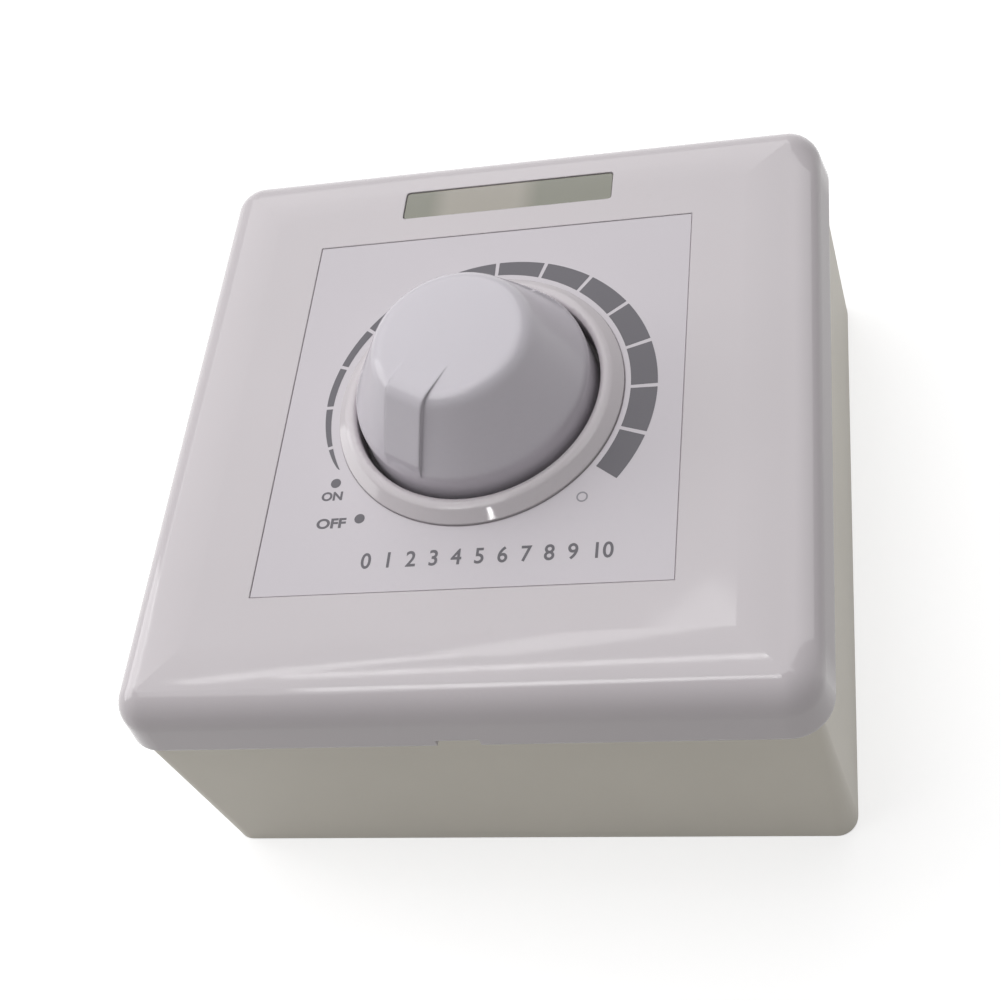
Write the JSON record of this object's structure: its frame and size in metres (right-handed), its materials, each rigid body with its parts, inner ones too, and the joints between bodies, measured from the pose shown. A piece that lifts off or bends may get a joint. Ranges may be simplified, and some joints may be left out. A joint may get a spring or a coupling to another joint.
{
  "type": "dimmer switch module",
  "caption": "Square surface-mounted rotary dimmer with a tapered knob, printed scale, indicator window and back box.",
  "frame": {"origin": "centre of the back box's rear face", "axes": "+Z out of the face along the knob's axis, +Y towards the edge with the indicator window"},
  "size_m": [0.0878, 0.0878, 0.0559],
  "materials": {
    "box_plastic": "semi-matt ivory",
    "cover_plastic": "gloss white",
    "knob_plastic": "gloss white",
    "label_film": "satin printed film",
    "lens_plastic": "translucent smoke",
    "frame_plastic": "moulded grey",
    "case_plastic": "moulded black",
    "terminal_plastic": "moulded green",
    "board_laminate": "tan laminate",
    "phenolic": "brown laminate",
    "moulded_resin": "black epoxy",
    "film_resin": "yellow moulded case",
    "capacitor_sleeve": "dark sleeve",
    "varistor_resin": "blue dipped",
    "resistor_coat": "tan lacquer",
    "led_resin": "tinted clear",
    "fuse_glass": "clear tube",
    "plated_steel": "zinc plated",
    "tinned_metal": "tinned",
    "shaft_aluminium": "turned",
    "brass": "bright"
  },
  "bodies": {
    "module": {"back_box": "box_plastic", "box_inserts": "brass", "front_cover": "cover_plastic", "scale_label": "label_film", "indicator_window": "lens_plastic", "mounting_frame": "frame_plastic", "fixing_screws": "plated_steel", "module_case": "case_plastic", "case_screws": "plated_steel", "circuit_board": "board_laminate", "board_screws": "plated_steel", "terminal_block": "terminal_plastic", "terminal_cages": "brass", "terminal_screws": "plated_steel", "fuse": "fuse_glass", "fuse_clips": "tinned_metal", "film_capacitor": "film_resin", "electrolytic_capacitor": "capacitor_sleeve", "varistor": "varistor_resin", "transistor": "moulded_resin", "resistors": "resistor_coat", "diodes": "moulded_resin", "indicator_led": "led_resin", "led_leads": "tinned_metal", "pot_bushing": "tinned_metal", "pot_washer": "plated_steel", "pot_nut": "plated_steel", "pot_can": "tinned_metal", "resistive_wafer": "phenolic", "pot_terminals": "tinned_metal", "switch_case": "moulded_resin", "switch_terminals": "brass", "rocker_pin": "plated_steel"},
    "knob": {"knob": "knob_plastic", "knob_spring_clip": "plated_steel", "pot_shaft": "shaft_aluminium", "pot_rotor": "moulded_resin", "wiper_contact": "brass"},
    "switch_rocker": {"switch_rocker": "terminal_plastic", "switch_bridge": "brass"}
  },
  "joints": [
    {"name": "knob_turn", "type": "hinge", "parent": "module", "child": "knob", "pos_m": [0, 0, 0.042], "axis": [0, 0, -1], "range_deg": [0, 280]},
    {"name": "switch_rocker", "type": "hinge", "parent": "module", "child": "switch_rocker", "pos_m": [-0.00342, -0.00336, 0.0219], "axis": [0, 0, 1], "range_deg": [0, 17]}
  ]
}
